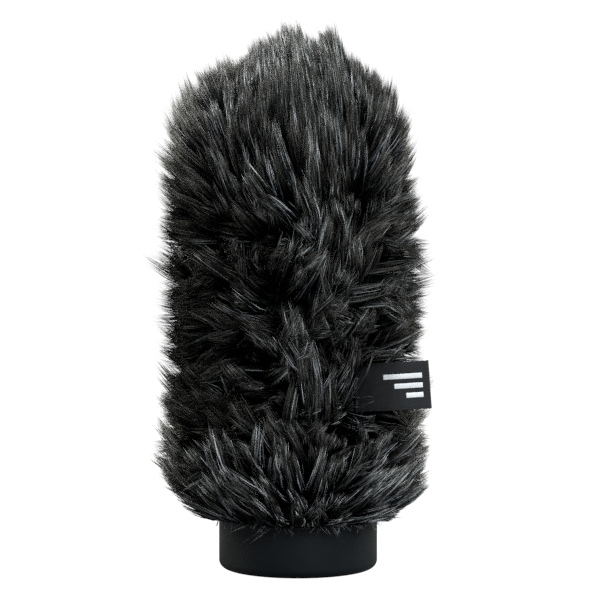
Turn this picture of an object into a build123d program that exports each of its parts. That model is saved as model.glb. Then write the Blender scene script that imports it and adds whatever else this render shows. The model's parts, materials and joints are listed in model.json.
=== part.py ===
"""Slip-on furry windscreen for a short shotgun microphone.

The windscreen stands on its rubber collar. The origin is the centre of the collar's bottom face,
+Z runs along the microphone's axis towards the closed, domed end, and -Y is the front.
The label is sewn into the front right seam. All lengths are millimetres.

Three bodies make up the object:
  core   the rubber collar with its grip bush, the rigid base ring, the open liner and the foam
  cover  four fur gores on knitted backing, seam tapes and threads, the elastic hem and label loops
  tag    the folded woven label with its raised motif
"""

import os
from math import acos, cos, degrees, radians, sin

from build123d import *

# Driving dimensions
MIC_RADIUS = 11.0
CORE_RADIUS = 26.9
COLLAR_RADIUS = 29.0
COLLAR_HEIGHT = 18.5
FUR_RADIUS = 46.5
DOME_START = 149.0

# Clearances and gaps between neighbouring pieces
FIT_GAP = 0.1
SLIDE_GAP = 0.2
SEAM_GAP = 0.5
CROWN_EYELET = 0.6

# Cutting tools reach past every piece
CUT_SPAN = 500.0

# Rubber collar
COLLAR_EDGE = 3.0
COLLAR_FLOOR = 4.0
COLLAR_RECESS_RADIUS = 21.0
COLLAR_RECESS_DEPTH = 0.8
NECK_TOP = 31.0
NECK_INNER = 24.5
HUB_INNER = 13.5
HUB_OUTER = 16.0
HUB_TOP = 20.0

# Grip bush
LIP_COUNT = 4
LIP_LAND = 1.6
LIP_PITCH = 5.4
LIP_DEPTH = 1.1
BUSH_FLANGE_RADIUS = 18.5
BUSH_FLANGE = 1.6

# Rigid base ring
BASE_PLATE_TOP = 33.0
BASE_WALL = 1.8
BASE_WEBS = 8
BASE_WEB_WIDTH = 1.6

# Open liner
LINER_INNER = 12.2
LINER_OUTER = 13.4
LINER_FLANGE_RADIUS = 16.0
LINER_FLANGE = 2.0
LINER_COLUMNS = 10
LINER_WINDOW_ROWS = 9
LINER_WINDOW_WIDTH = 6.4
LINER_HOOP = 1.5
LINER_CAP_SPIGOT = 5.0
LINER_CAP_WALL = 2.2
LINER_CAP_RIM = 1.5

# Foam and spacers
INNER_FOAM_OUTER = 18.5
OUTER_FOAM_INNER = 22.5
FOAM_CAP_SKIRT = 4.0
WASHER_THICKNESS = 4.0
SPACER_HEIGHTS = (51.0, 95.0, 139.0)
SPACER_THICKNESS = 3.0
SPACER_PORTS = 12
SPACER_PORT_RADIUS = 1.1

# Cover
TAPE_THICKNESS = 0.3
TAPE_WIDTH_DEG = 16.0
TAPE_POLE = 2.0
BACKING_THICKNESS = 0.8
GORES = (("front", -90.0), ("right", 0.0), ("back", 90.0), ("left", 180.0))
GORE_ANGLE = 90.0
FUR_BOTTOM_RADIUS = 30.5
FUR_SHOULDER = 34.0
THREAD_RADIUS = 0.18
THREAD_LIFT = 0.1
THREAD_POLE = 3.0
HEM_HEIGHT = 7.0
HEM_THICKNESS = 2.0
HEM_SKIN = 0.5
HEM_CHANNEL = 4.2
ELASTIC_HEIGHT = 4.0

# Label
TAG_SEAM_DEG = -45.0
TAG_HEIGHT = 17.0
TAG_LENGTH = 28.0
TAG_THICKNESS = 1.1
TAG_MIDDLE_Z = 67.5
TAG_START_DEG = -42.0
TAG_SWEEP_DEG = 40.0
TAG_TILT_DEG = 4.5
TAG_BEAD_RADIUS = 0.8
TAG_ROOT_LIFT = 1.6
MOTIF_RISE = 0.25
MOTIF_BAR_HEIGHT = 1.8
MOTIF_BARS = ((3.4, 14.0), (0.0, 10.0), (-3.4, 6.0))
MOTIF_END = 2.6
LOOP_WIRE = 0.3
LOOP_COUNT = 5
LOOP_GAP = 0.06
TAG_SWING = (-18.0, 14.0)
PARTING_HEEL = 3.0
PARTING_REACH = 60.0
PARTING_MARGIN = 1.5
PARTING_SPARE_DEG = 8.0

# Derived radii and levels
TAPE_INNER = CORE_RADIUS + SLIDE_GAP
BACKING_INNER = TAPE_INNER + TAPE_THICKNESS + FIT_GAP
BACKING_OUTER = BACKING_INNER + BACKING_THICKNESS
FUR_INNER = BACKING_OUTER + FIT_GAP
HEM_BOTTOM = COLLAR_HEIGHT + FIT_GAP
HEM_TOP = HEM_BOTTOM + HEM_HEIGHT
HEM_OUTER = TAPE_INNER + HEM_THICKNESS
LINER_TOP = DOME_START - LINER_CAP_RIM
FOAM_BOTTOM = BASE_PLATE_TOP + FIT_GAP
TAG_ROOT_RADIUS = BACKING_OUTER + TAG_ROOT_LIFT
TAG_CURVE_RADIUS = TAG_LENGTH / radians(TAG_SWEEP_DEG)


def turned(*points):
    """A full turn about Z of the closed outline through (radius, height) points."""
    return revolve(Plane.XZ * make_face(Polyline(*points, close=True)), axis=Axis.Z)


def ring(inner, outer, bottom, top):
    return turned((inner, bottom), (outer, bottom), (outer, top), (inner, top))


def dome_arc(radius, pole):
    """Arc of the domed end, from the wall up to the pole's radius."""
    return CenterArc((0, DOME_START), radius, 0, degrees(acos(pole / radius)))


def domed(inner, outer, *foot, angle=360.0, pole=0.0):
    """Wall closed by a dome, turned about Z through the given angle from +X.

    The foot's points run from the wall's inner side down and round to its outer side.
    """
    inner_arc = dome_arc(inner, pole)
    outer_arc = dome_arc(outer, pole)
    wall = Polyline((inner, DOME_START), *foot, (outer, DOME_START))
    crown = Line(outer_arc @ 1, inner_arc @ 1)
    outline = make_face([wall, outer_arc, crown, inner_arc])
    return revolve(Plane.XZ * outline, axis=Axis.Z, revolution_arc=angle)


def around(shape, count):
    """Copies of the shape at equal angles about Z."""
    return [Rotation(0, 0, n * 360.0 / count) * shape for n in range(count)]


def gore(inner, outer, *foot, centre):
    """One domed quarter whose middle faces the centre angle, cut back from its two seams."""
    quarter = domed(inner, outer, *foot, angle=GORE_ANGLE, pole=CROWN_EYELET)
    quarter = Rotation(0, 0, centre - GORE_ANGLE / 2) * quarter
    slit = Box(CUT_SPAN, SEAM_GAP, CUT_SPAN)
    seams = (-GORE_ANGLE / 2, GORE_ANGLE / 2)
    return quarter - [Rotation(0, 0, seam) * slit for seam in seams]


def at_angle(radius, angle_deg):
    return (radius * cos(radians(angle_deg)), radius * sin(radians(angle_deg)))


# Core body


def rubber_collar():
    """Moulded cup: visible skirt, neck for the cover's hem, floor and the hub that holds the bush."""
    cup = turned(
        (COLLAR_RECESS_RADIUS, 0),
        (COLLAR_RADIUS, 0),
        (COLLAR_RADIUS, COLLAR_HEIGHT),
        (CORE_RADIUS, COLLAR_HEIGHT),
        (CORE_RADIUS, NECK_TOP),
        (NECK_INNER, NECK_TOP),
        (NECK_INNER, COLLAR_FLOOR),
        (HUB_OUTER, COLLAR_FLOOR),
        (HUB_OUTER, HUB_TOP),
        (HUB_INNER, HUB_TOP),
        (HUB_INNER, BUSH_FLANGE + COLLAR_RECESS_DEPTH),
        (BUSH_FLANGE_RADIUS, BUSH_FLANGE + COLLAR_RECESS_DEPTH),
        (BUSH_FLANGE_RADIUS, COLLAR_RECESS_DEPTH),
        (COLLAR_RECESS_RADIUS, COLLAR_RECESS_DEPTH),
    )
    bottom_rims = cup.edges().filter_by(GeomType.CIRCLE).group_by(Axis.Z)[0]
    return fillet(bottom_rims.sort_by(SortBy.RADIUS)[-1], COLLAR_EDGE)


def grip_bush():
    """Soft bush with a flange and round lips, whose lands hold the microphone's barrel."""
    wall = MIC_RADIUS + LIP_DEPTH
    flange_bottom = COLLAR_RECESS_DEPTH
    bush = ring(wall, HUB_INNER - FIT_GAP / 2, flange_bottom, HUB_TOP)
    flange_outer = BUSH_FLANGE_RADIUS - FIT_GAP
    bush += ring(wall, flange_outer, flange_bottom, flange_bottom + BUSH_FLANGE - FIT_GAP / 2)
    for n in range(LIP_COUNT):
        lip_bottom = flange_bottom + n * LIP_PITCH
        bush += turned(
            (MIC_RADIUS, lip_bottom),
            (wall + FIT_GAP, lip_bottom),
            (wall + FIT_GAP, lip_bottom + LIP_LAND + LIP_DEPTH),
            (wall, lip_bottom + LIP_LAND + LIP_DEPTH),
            (MIC_RADIUS, lip_bottom + LIP_LAND),
        )
    return bush


def base_ring():
    """Rigid moulding inside the collar: two walls joined by webs under the plate that carries the foam."""
    bottom = COLLAR_FLOOR + FIT_GAP
    outer_wall = NECK_INNER - FIT_GAP
    inner_wall = HUB_OUTER + FIT_GAP
    plate_bottom = NECK_TOP + FIT_GAP
    frame = ring(outer_wall - BASE_WALL, outer_wall, bottom, plate_bottom)
    frame += ring(inner_wall, inner_wall + BASE_WALL, bottom, plate_bottom)
    frame += ring(LINER_INNER, CORE_RADIUS - SLIDE_GAP, plate_bottom, BASE_PLATE_TOP)
    web_length = outer_wall - inner_wall - BASE_WALL
    web = Box(web_length, BASE_WEB_WIDTH, plate_bottom - bottom)
    web = Pos((outer_wall + inner_wall) / 2, 0, (plate_bottom + bottom) / 2) * web
    return frame + around(web, BASE_WEBS)


def open_liner():
    """Open cage that keeps the foam off the barrel: a flanged tube with rows of windows."""
    tube = turned(
        (LINER_INNER, FOAM_BOTTOM),
        (LINER_FLANGE_RADIUS, FOAM_BOTTOM),
        (LINER_FLANGE_RADIUS, FOAM_BOTTOM + LINER_FLANGE),
        (LINER_OUTER, FOAM_BOTTOM + LINER_FLANGE),
        (LINER_OUTER, LINER_TOP),
        (LINER_INNER, LINER_TOP),
    )
    first_level = FOAM_BOTTOM + LINER_FLANGE + LINER_HOOP
    pitch = (LINER_TOP - first_level) / LINER_WINDOW_ROWS
    window = Box(LINER_INNER, LINER_WINDOW_WIDTH, pitch - LINER_HOOP)
    window = Pos(LINER_OUTER, 0, first_level + (pitch - LINER_HOOP) / 2) * window
    column = [Pos(0, 0, n * pitch) * window for n in range(LINER_WINDOW_ROWS)]
    turns = [Rotation(0, 0, n * 360.0 / LINER_COLUMNS) for n in range(LINER_COLUMNS)]
    return tube - [turn * opening for turn in turns for opening in column]


def liner_cap():
    """Hollow round-nosed plug that closes the liner beyond the microphone's tip."""
    spigot = LINER_INNER - FIT_GAP / 2
    bottom = LINER_TOP - LINER_CAP_SPIGOT
    inner = spigot - LINER_CAP_WALL
    rim = LINER_TOP + FIT_GAP / 2
    return domed(inner, LINER_OUTER, (inner, bottom), (spigot, bottom), (spigot, rim), (LINER_OUTER, rim))


def base_washer():
    """Foam washer that closes the air gap round the liner's flange."""
    top = FOAM_BOTTOM + WASHER_THICKNESS
    return ring(LINER_FLANGE_RADIUS + FIT_GAP, OUTER_FOAM_INNER - FIT_GAP, FOAM_BOTTOM, top)


def inner_foam():
    """Open-cell foam sock on the liner, closed over the liner's cap."""
    inner = LINER_OUTER + FIT_GAP
    bottom = FOAM_BOTTOM + WASHER_THICKNESS + FIT_GAP
    return domed(inner, INNER_FOAM_OUTER, (inner, bottom), (INNER_FOAM_OUTER, bottom))


def spacer_rings():
    """Ported rings that hold the still-air gap between the two foams."""
    rings = []
    inner = INNER_FOAM_OUTER + FIT_GAP
    outer = OUTER_FOAM_INNER - FIT_GAP
    for level in SPACER_HEIGHTS:
        spacer = ring(inner, outer, level, level + SPACER_THICKNESS)
        port = Pos((inner + outer) / 2, 0, level) * Cylinder(SPACER_PORT_RADIUS, CUT_SPAN)
        rings.append(spacer - around(port, SPACER_PORTS))
    return Compound(rings)


def outer_foam_sleeve():
    top = DOME_START - FOAM_CAP_SKIRT - FIT_GAP
    return ring(OUTER_FOAM_INNER, CORE_RADIUS, FOAM_BOTTOM, top)


def outer_foam_cap():
    """Domed foam end that seats on the sleeve."""
    bottom = DOME_START - FOAM_CAP_SKIRT
    return domed(OUTER_FOAM_INNER, CORE_RADIUS, (OUTER_FOAM_INNER, bottom), (CORE_RADIUS, bottom))


# Cover body


def seam_tapes():
    """Four tapes inside the seams, each running from the hem up to the crown."""
    outer = TAPE_INNER + TAPE_THICKNESS
    bottom = HEM_TOP + FIT_GAP
    foot = ((TAPE_INNER, bottom), (outer, bottom))
    tape = domed(TAPE_INNER, outer, *foot, angle=TAPE_WIDTH_DEG, pole=TAPE_POLE)
    turns = [Rotation(0, 0, c + (GORE_ANGLE - TAPE_WIDTH_DEG) / 2) for _, c in GORES]
    return Compound([turn * tape for turn in turns])


def backing_gore(centre):
    """Knitted ground of one gore."""
    bottom = HEM_TOP + FIT_GAP
    foot = ((BACKING_INNER, bottom), (BACKING_OUTER, bottom))
    return gore(BACKING_INNER, BACKING_OUTER, *foot, centre=centre)


def label_parting():
    """The wedge that the pile leaves open round the label, over the label's whole swing."""
    first = TAG_START_DEG + TAG_SWING[0] - PARTING_SPARE_DEG
    last = TAG_START_DEG + TAG_SWEEP_DEG / 2 + TAG_SWING[1] + PARTING_SPARE_DEG
    heel = at_angle(-PARTING_HEEL, (first + last) / 2)
    corners = (heel, at_angle(PARTING_REACH, first), at_angle(PARTING_REACH, last))
    rise = TAG_LENGTH * sin(radians(TAG_TILT_DEG))
    height = TAG_HEIGHT + rise + 2 * PARTING_MARGIN
    wedge = extrude(make_face(Polyline(*corners, close=True)), amount=height)
    root = at_angle(TAG_ROOT_RADIUS, TAG_SEAM_DEG)
    return Pos(*root, TAG_MIDDLE_Z - TAG_HEIGHT / 2 - PARTING_MARGIN) * wedge


def fur_gore(centre):
    """Pile of one gore, as the closed space that its fibres fill."""
    foot = (
        (FUR_INNER, HEM_TOP + FIT_GAP),
        (HEM_OUTER + FIT_GAP, HEM_TOP + FIT_GAP),
        (HEM_OUTER + FIT_GAP, HEM_BOTTOM),
        (FUR_BOTTOM_RADIUS, HEM_BOTTOM),
        (FUR_RADIUS, FUR_SHOULDER),
    )
    return gore(FUR_INNER, FUR_RADIUS, *foot, centre=centre) - label_parting()


def seam_threads():
    """One sewing thread along each seam, laid in the gap between two gores."""
    radius = (BACKING_INNER + BACKING_OUTER) / 2
    start = HEM_TOP + THREAD_LIFT
    wall = Line((radius, start), (radius, DOME_START))
    path = Plane.XZ * Wire([wall.edge(), dome_arc(radius, THREAD_POLE).edge()])
    thread = sweep(Pos(radius, 0, start) * Circle(THREAD_RADIUS), path=path)
    return Compound([Rotation(0, 0, c + GORE_ANGLE / 2) * thread for _, c in GORES])


def hem_binding():
    """Folded binding at the cover's mouth, with a channel for the elastic."""
    channel_bottom = HEM_BOTTOM + (HEM_HEIGHT - HEM_CHANNEL) / 2
    channel_top = channel_bottom + HEM_CHANNEL
    binding = ring(TAPE_INNER, HEM_OUTER, HEM_BOTTOM, HEM_TOP)
    return binding - ring(TAPE_INNER + HEM_SKIN, HEM_OUTER - HEM_SKIN, channel_bottom, channel_top)


def hem_elastic():
    bottom = HEM_BOTTOM + (HEM_HEIGHT - ELASTIC_HEIGHT) / 2
    inner = TAPE_INNER + HEM_SKIN + FIT_GAP
    outer = HEM_OUTER - HEM_SKIN - FIT_GAP
    return ring(inner, outer, bottom, bottom + ELASTIC_HEIGHT)


def label_loops():
    """Bar-tack loops that hold the label's beaded edge and let it flap."""
    root = at_angle(TAG_ROOT_RADIUS, TAG_SEAM_DEG)
    loop = Torus(TAG_BEAD_RADIUS + LOOP_GAP + LOOP_WIRE, LOOP_WIRE)
    return Compound([Pos(*root, level) * loop for level in loop_levels()])


# Tag body


def on_label(shape):
    """Tilts a piece built upright at the label's root, and moves it to the root."""
    root = at_angle(TAG_ROOT_RADIUS, TAG_SEAM_DEG)
    turn = Rotation(0, 0, TAG_START_DEG + TAG_SWEEP_DEG / 2)
    tilt = turn * Rotation(0, -TAG_TILT_DEG, 0) * turn.inverse()
    return Pos(*root, TAG_MIDDLE_Z) * tilt * shape


def label_curve(inner, outer, start, length, middle, height):
    """Strip that follows the label's curve, from start to start + length along it."""
    first = degrees(start / TAG_CURVE_RADIUS)
    section = Plane.XZ * Pos((inner + outer) / 2, middle) * Rectangle(outer - inner, height)
    strip = revolve(section, axis=Axis.Z, revolution_arc=degrees(length / TAG_CURVE_RADIUS))
    strip = Rotation(0, 0, TAG_START_DEG - 90.0 + first) * strip
    return Pos(*at_angle(TAG_CURVE_RADIUS, TAG_START_DEG + 90.0)) * strip


def loop_levels():
    pitch = TAG_HEIGHT / LOOP_COUNT
    return [TAG_MIDDLE_Z + (n + 0.5) * pitch - TAG_HEIGHT / 2 for n in range(LOOP_COUNT)]


def woven_label():
    """Folded label: a curved leaf with a round bead on its sewn edge, notched where the loops pass."""
    inner = TAG_CURVE_RADIUS - TAG_THICKNESS / 2
    leaf = label_curve(inner, inner + TAG_THICKNESS, 0.0, TAG_LENGTH, 0.0, TAG_HEIGHT)
    leaf = on_label(leaf)
    root = at_angle(TAG_ROOT_RADIUS, TAG_SEAM_DEG)
    notch = Cylinder(TAG_BEAD_RADIUS + 2 * (LOOP_WIRE + LOOP_GAP), 2 * (LOOP_WIRE + LOOP_GAP))
    for level in loop_levels():
        leaf -= Pos(*root, level) * notch
    return leaf + Pos(*root, TAG_MIDDLE_Z) * Cylinder(TAG_BEAD_RADIUS, TAG_HEIGHT)


def motif_bar(offset, length):
    """Raised satin-stitch bar on the label's outer side, ending at the motif's margin."""
    inner = TAG_CURVE_RADIUS + TAG_THICKNESS / 2
    start = TAG_LENGTH - MOTIF_END - length
    bar = label_curve(inner, inner + MOTIF_RISE, start, length, offset, MOTIF_BAR_HEIGHT)
    return on_label(bar)


def main():
    os.makedirs("parts", exist_ok=True)
    pieces = {
        "rubber_collar": rubber_collar(),
        "grip_bush": grip_bush(),
        "base_ring": base_ring(),
        "open_liner": open_liner(),
        "liner_cap": liner_cap(),
        "base_washer": base_washer(),
        "inner_foam": inner_foam(),
        "spacer_rings": spacer_rings(),
        "outer_foam_sleeve": outer_foam_sleeve(),
        "outer_foam_cap": outer_foam_cap(),
        "seam_tapes": seam_tapes(),
        "seam_threads": seam_threads(),
        "hem_binding": hem_binding(),
        "hem_elastic": hem_elastic(),
        "label_loops": label_loops(),
        "woven_label": woven_label(),
        "motif_bars": Compound([motif_bar(*bar) for bar in MOTIF_BARS]),
    }
    for name, centre in GORES:
        pieces[f"backing_{name}"] = backing_gore(centre)
        pieces[f"fur_{name}"] = fur_gore(centre)
    for name, piece in pieces.items():
        export_step(piece, f"parts/{name}.step")


main()
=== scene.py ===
"""Looks of the furry windscreen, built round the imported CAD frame.

Lengths are millimetres, and the meshes scale them to metres. +Z is the microphone's axis, -Y is the
front, and the four gores of the cover meet at seams halfway between the axes.
The rigid mouldings keep their CAD shapes. Everything soft is modelled here in its CAD solid's space:
the fur strand by strand, the knitted and woven cloth, the threads and the foam.
"""

import json
import math

import bmesh
import bpy
import numpy as np
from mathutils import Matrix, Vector
from mathutils.kdtree import KDTree


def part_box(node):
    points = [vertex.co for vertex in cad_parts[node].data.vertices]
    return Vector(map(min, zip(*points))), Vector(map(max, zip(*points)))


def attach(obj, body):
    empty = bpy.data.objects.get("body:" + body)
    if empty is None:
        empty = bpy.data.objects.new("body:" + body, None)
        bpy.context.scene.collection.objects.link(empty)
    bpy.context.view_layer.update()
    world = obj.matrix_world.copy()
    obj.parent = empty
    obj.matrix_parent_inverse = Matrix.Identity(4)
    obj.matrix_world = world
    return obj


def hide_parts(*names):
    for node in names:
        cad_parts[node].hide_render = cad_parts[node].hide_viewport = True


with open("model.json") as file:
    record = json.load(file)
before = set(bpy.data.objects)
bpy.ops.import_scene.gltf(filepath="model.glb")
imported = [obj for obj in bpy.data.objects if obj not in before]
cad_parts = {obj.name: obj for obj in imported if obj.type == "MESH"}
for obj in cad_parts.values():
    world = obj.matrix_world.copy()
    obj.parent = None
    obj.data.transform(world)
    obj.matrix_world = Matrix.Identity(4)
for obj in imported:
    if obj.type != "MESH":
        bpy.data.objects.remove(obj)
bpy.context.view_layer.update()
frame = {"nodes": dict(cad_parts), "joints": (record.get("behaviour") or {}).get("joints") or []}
scene = bpy.context.scene

MM = 0.001
QUARTER = math.pi / 2
TURN = 2 * math.pi
UPRIGHT = np.array((0.0, 0.0, 1.0))


def node_box(node):
    """Lowest and highest corner of a CAD node in millimetres."""
    return [np.array(corner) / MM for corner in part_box(node)]


# Sizes read from the frame
HEM_LOW, HEM_HIGH = node_box("hem_binding")
HEM_RADIUS = HEM_HIGH[0]
BACKING_LOW, BACKING_HIGH = node_box("backing_front")
BACKING_RADIUS = -BACKING_LOW[1]
FUR_RADIUS = -node_box("fur_left")[0][0]
FLAP = next(joint for joint in frame["joints"] if joint["name"] == "tag_flap")
TAG_ROOT = np.array(FLAP["pos_m"]) / MM

# Height at which the walls turn into domes
SPRING_Z = BACKING_HIGH[2] - BACKING_RADIUS

# Gaps and thicknesses as in the CAD, and how far the soft pieces' ends stay inside it
FIT_GAP = 0.1
END_GAP = 0.05
BACKING_THICKNESS = 0.8
TAPE_THICKNESS = 0.3
HEM_THICKNESS = 2.0
TAPE_RADIUS = BACKING_RADIUS - BACKING_THICKNESS - FIT_GAP

# Gores by name and the azimuth their middle faces, in degrees
GORES = (("front", -90.0), ("right", 0.0), ("back", 90.0), ("left", 180.0))


# Number helpers


def curve(points, x):
    """Reading of a list of (place, value) between its points."""
    return np.interp(x, *zip(*points))


def smoothstep(low, high, x):
    t = np.clip((x - low) / (high - low), 0.0, 1.0)
    return t * t * (3 - 2 * t)


def unit(v):
    return v / np.maximum(np.linalg.norm(v, axis=-1, keepdims=True), 1e-9)


def vectors(*parts):
    """Vectors made of their parts, which are arrays or numbers."""
    return np.stack(np.broadcast_arrays(*parts), axis=-1)


def polar(azimuth, elevation=0.0):
    """Unit vectors from azimuth and elevation in radians."""
    flat = np.cos(elevation)
    return vectors(flat * np.cos(azimuth), flat * np.sin(azimuth), np.sin(elevation))


def waves(seed, wavelength, points, count=10):
    """Smooth pseudo-random field between about -1 and 1."""
    rng = np.random.default_rng(seed)
    directions = unit(rng.normal(size=(count, 3)))
    rates = TURN / wavelength * rng.uniform(0.6, 1.5, size=(count, 1))
    phases = rng.uniform(0, TURN, size=count)
    return np.sin(points @ (directions * rates).T + phases).sum(axis=-1) / math.sqrt(count)


# Meshes


def add_object(name, data):
    item = bpy.data.objects.new(name, data)
    scene.collection.objects.link(item)
    return item


def finish_mesh(mesh, material, body, slot, *replaced):
    """Makes the mesh a piece of the same name, on a body, that stands for the replaced CAD nodes."""
    mesh.materials.append(material)
    mesh.polygons.foreach_set("use_smooth", np.ones(len(mesh.polygons), bool))
    mesh.update()
    mesh.validate()
    piece = add_object(mesh.name, mesh)
    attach(piece, body)
    if replaced:
        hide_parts(*replaced)


WELD_REACH = 0.0005


def weld(mesh):
    """Joins coincident points where a grid meets itself, and fills the ends that stay open."""
    work = bmesh.new()
    work.from_mesh(mesh)
    bmesh.ops.remove_doubles(work, verts=work.verts, dist=WELD_REACH * MM)
    bmesh.ops.recalc_face_normals(work, faces=work.faces)
    bmesh.ops.holes_fill(work, edges=work.edges)
    work.to_mesh(mesh)
    work.free()


def joined_mesh(name, meshes):
    """One mesh made of several that share their layers."""
    work = bmesh.new()
    for mesh in meshes:
        work.from_mesh(mesh)
    joined = bpy.data.meshes.new(name)
    work.to_mesh(joined)
    work.free()
    return joined


def grid_mesh(name, grids, caps=()):
    """Mesh from grids of points with their places on the cloth, closed by caps.

    Points are (rows, columns, 3), places (rows, columns, 2) and caps quads of point numbers.
    """
    vertices, faces, coordinates = [], [], []
    first = 0
    for points, cloth in grids:
        rows, columns = points.shape[:2]
        index = first + np.arange(rows * columns).reshape(rows, columns)
        quads = vectors(index[:-1, :-1], index[:-1, 1:], index[1:, 1:], index[1:, :-1])
        vertices.append(points.reshape(-1, 3))
        coordinates.append(cloth.reshape(-1, 2))
        faces.append(quads.reshape(-1, 4))
        first += rows * columns
    faces = np.concatenate((*faces, *caps))
    coordinates = np.concatenate(coordinates)
    mesh = bpy.data.meshes.new(name)
    mesh.from_pydata((np.concatenate(vertices) * MM).tolist(), [], faces.tolist())
    layer = mesh.uv_layers.new(name="cloth")
    layer.data.foreach_set("uv", coordinates[faces].astype(np.float32).ravel())
    weld(mesh)
    return mesh


def wall_and_dome(radius, bottom, pole, step):
    """Profile points up a wall and over its dome, ending at the pole's radius."""
    wall = SPRING_Z - bottom
    length = wall + radius * math.acos(pole / radius)
    along = np.linspace(0.0, length, math.ceil(length / step) + 1)
    angle = np.maximum(along - wall, 0.0) / radius
    height = bottom + np.minimum(along, wall) + radius * np.sin(angle)
    return vectors(radius * np.cos(angle), height)


def straight_wall(radius, bottom, top, step):
    height = np.linspace(bottom, top, math.ceil((top - bottom) / step) + 1)
    return vectors(radius, height)


def rounded(middle, thickness, corner, open_top=False):
    """Thickness along a profile, narrowed over its ends so that its edges are round."""
    along = np.append(0.0, np.cumsum(np.linalg.norm(np.diff(middle, axis=0), axis=1)))
    to_end = along if open_top else np.minimum(along, along[-1] - along)
    inset = np.clip(1.0 - to_end / corner, 0.0, 1.0)
    return thickness - 2 * corner * (1.0 - np.sqrt(1.0 - 0.98 * inset**2))


def turned_sheet(name, middle, thickness, azimuths, sway=None, grain=None):
    """Closed sheet round a profile of (radius, height), turned over the azimuths.

    sway moves both sides alike along the outer side's normal, and grain moves each side outward.
    """
    thickness = np.broadcast_to(thickness, len(middle))
    along = unit(np.gradient(middle, axis=0))
    out = vectors(along[:, 1], -along[:, 0])
    half = out * thickness[:, None] / 2
    outline = np.concatenate((middle + half, (middle - half)[::-1], (middle + half)[:1]))
    normal = np.concatenate((out, out[::-1], out[:1]))
    side = np.concatenate((np.ones(len(out)), -np.ones(len(out)), (1.0,)))
    run = np.append(0.0, np.cumsum(np.linalg.norm(np.diff(outline, axis=0), axis=1)))
    x, y = polar(azimuths).T[:2]

    def turned(profile):
        radius, height = profile[:, :1], profile[:, 1:]
        return vectors(radius * x, radius * y, height)

    points, normals = turned(outline), turned(normal)
    shift = np.zeros(points.shape[:2])
    if sway:
        shift += sway(points)
    if grain:
        shift += grain(points) * side[:, None]
    points += normals * shift[..., None]
    cloth = vectors(azimuths * middle[0, 0], run[:, None])
    caps = []
    if azimuths[-1] - azimuths[0] < TURN - 1e-6:
        outer_side = np.arange(len(middle) - 1)
        inner_side = 2 * len(middle) - 1 - outer_side
        quads = vectors(outer_side, outer_side + 1, inner_side - 1, inner_side) * len(azimuths)
        caps = [quads, quads + len(azimuths) - 1]
    return grid_mesh(name, [(points, cloth)], caps)


def full_turn(radius, step):
    return np.linspace(-math.pi, math.pi, math.ceil(TURN * radius / step) + 1)


# How far apart in u the sides of one strand lie, so that no face has a zero width there
UV_NUDGE = 0.004


def tube_mesh(name, paths, radii, sides, helpers, numbers=None, steps=None):
    """Closed tubes along the paths, flat where they start and pointed where they end.

    paths is (count, points, 3), radii (count, points - 1) and helpers a vector for each tube that its
    path never follows. With numbers and steps, the layer OFBake holds each tube's number as u and the
    step along it as v.
    """
    count, length = paths.shape[:2]
    rings = length - 1
    tangents = unit(np.gradient(paths, axis=1))
    across = unit(np.cross(tangents, helpers[:, None]))
    up = np.cross(across, tangents)
    angles = (np.arange(sides) * TURN / sides)[:, None]
    spokes = np.cos(angles) * across[:, :rings, None] + np.sin(angles) * up[:, :rings, None]
    ring_points = paths[:, :rings, None] + spokes * radii[:, :, None, None]
    points = np.concatenate((ring_points.reshape(count, -1, 3), paths[:, -1:]), axis=1)
    per_tube = rings * sides + 1

    side = np.arange(sides)
    next_side = (side + 1) % sides
    low = np.arange(rings - 1)[:, None] * sides
    high = low + sides
    quads = vectors(low + side, low + next_side, high + next_side, high + side).reshape(-1, 4)
    last = (rings - 1) * sides
    tips = vectors(last + side, last + next_side, per_tube - 1)
    pattern = np.concatenate((quads.ravel(), tips.ravel(), side[::-1]))
    sizes = np.array([4] * len(quads) + [3] * len(tips) + [sides])
    first = (np.arange(count) * per_tube)[:, None]
    loops = (pattern[None] + first).ravel().astype(np.int32)
    totals = np.tile(sizes, count).astype(np.int32)
    starts = np.append(0, np.cumsum(totals)[:-1]).astype(np.int32)

    mesh = bpy.data.meshes.new(name)
    mesh.vertices.add(count * per_tube)
    mesh.vertices.foreach_set("co", (points * MM).astype(np.float32).ravel())
    mesh.loops.add(len(loops))
    mesh.loops.foreach_set("vertex_index", loops)
    mesh.polygons.add(len(totals))
    mesh.polygons.foreach_set("loop_start", starts)
    mesh.polygons.foreach_set("loop_total", totals)
    if numbers is not None:
        nudge = np.append(np.tile(side, rings), 1)[pattern] * UV_NUDGE
        uv = np.empty((count, len(pattern), 2), np.float32)
        uv[:, :, 0] = numbers[:, None] * (1.0 - sides * UV_NUDGE) + nudge
        uv[:, :, 1] = np.append(np.repeat(steps[:rings], sides), 1.0)[pattern]
        mesh.uv_layers.new(name="OFBake").data.foreach_set("uv", uv.ravel())
    return mesh


def perpendicular(paths):
    """A vector for each path at right angles to its chord."""
    chord = unit(paths[:, -1] - paths[:, 0])
    other = np.where(np.abs(chord[:, 2:3]) > 0.7, polar(0.0), UPRIGHT)
    return unit(np.cross(chord, other))


PLY_SHARE = 0.55
PLY_SIDES = 5


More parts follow.
